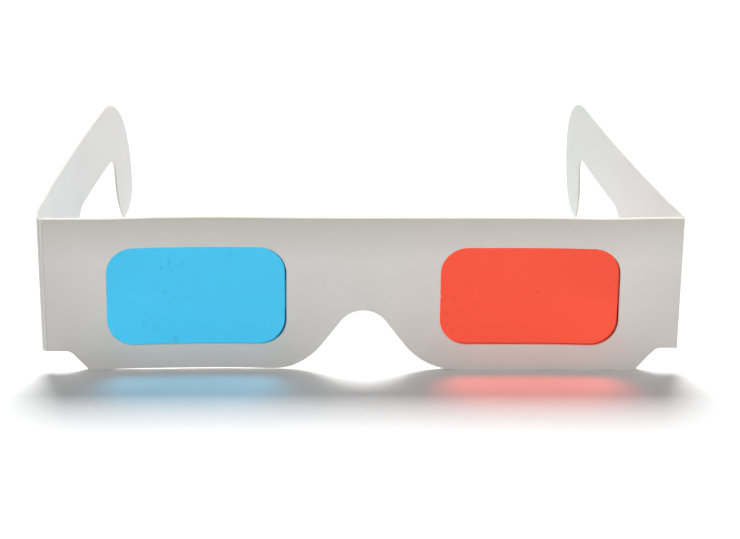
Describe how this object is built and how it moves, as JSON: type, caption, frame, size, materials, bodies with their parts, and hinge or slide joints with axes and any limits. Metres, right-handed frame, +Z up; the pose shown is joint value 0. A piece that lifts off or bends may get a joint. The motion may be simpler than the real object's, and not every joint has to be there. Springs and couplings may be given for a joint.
{
  "type": "3d glasses",
  "caption": "Folding card viewing glasses with a flat windowed front panel, coloured cyan and red films and temples that turn at scored folds and end in ear hooks.",
  "frame": {"origin": "middle of the ground under the glasses as they stand with both temples back", "axes": "-Y is the way the front panel faces, +X runs from the cyan film to the red film, +Z is up"},
  "size_m": [0.14, 0.1018, 0.036],
  "materials": {
    "front_card": "satin",
    "rear_card": "satin",
    "adhesive": "matte",
    "cyan_film": "gloss",
    "red_film": "gloss"
  },
  "bodies": {
    "panel": {"front_leaf": "front_card", "rear_leaf": "rear_card", "leaf_glue": "adhesive", "cyan_film": "cyan_film", "red_film": "red_film", "cyan_film_glue": "adhesive", "red_film_glue": "adhesive", "left_fold": "rear_card", "right_fold": "rear_card"},
    "left_arm": {"left_temple": "rear_card"},
    "right_arm": {"right_temple": "rear_card"}
  },
  "joints": [
    {"name": "left_temple_fold", "type": "hinge", "parent": "panel", "child": "left_arm", "pos_m": [-0.06945, -0.04976, 0.02], "axis": [0, 0, 1], "range_deg": [-81.1, 97.9], "deforming": ["left_fold"]},
    {"name": "right_temple_fold", "type": "hinge", "parent": "panel", "child": "right_arm", "pos_m": [0.06945, -0.04976, 0.02], "axis": [0, 0, -1], "range_deg": [-75, 99.2], "deforming": ["right_fold"]}
  ]
}
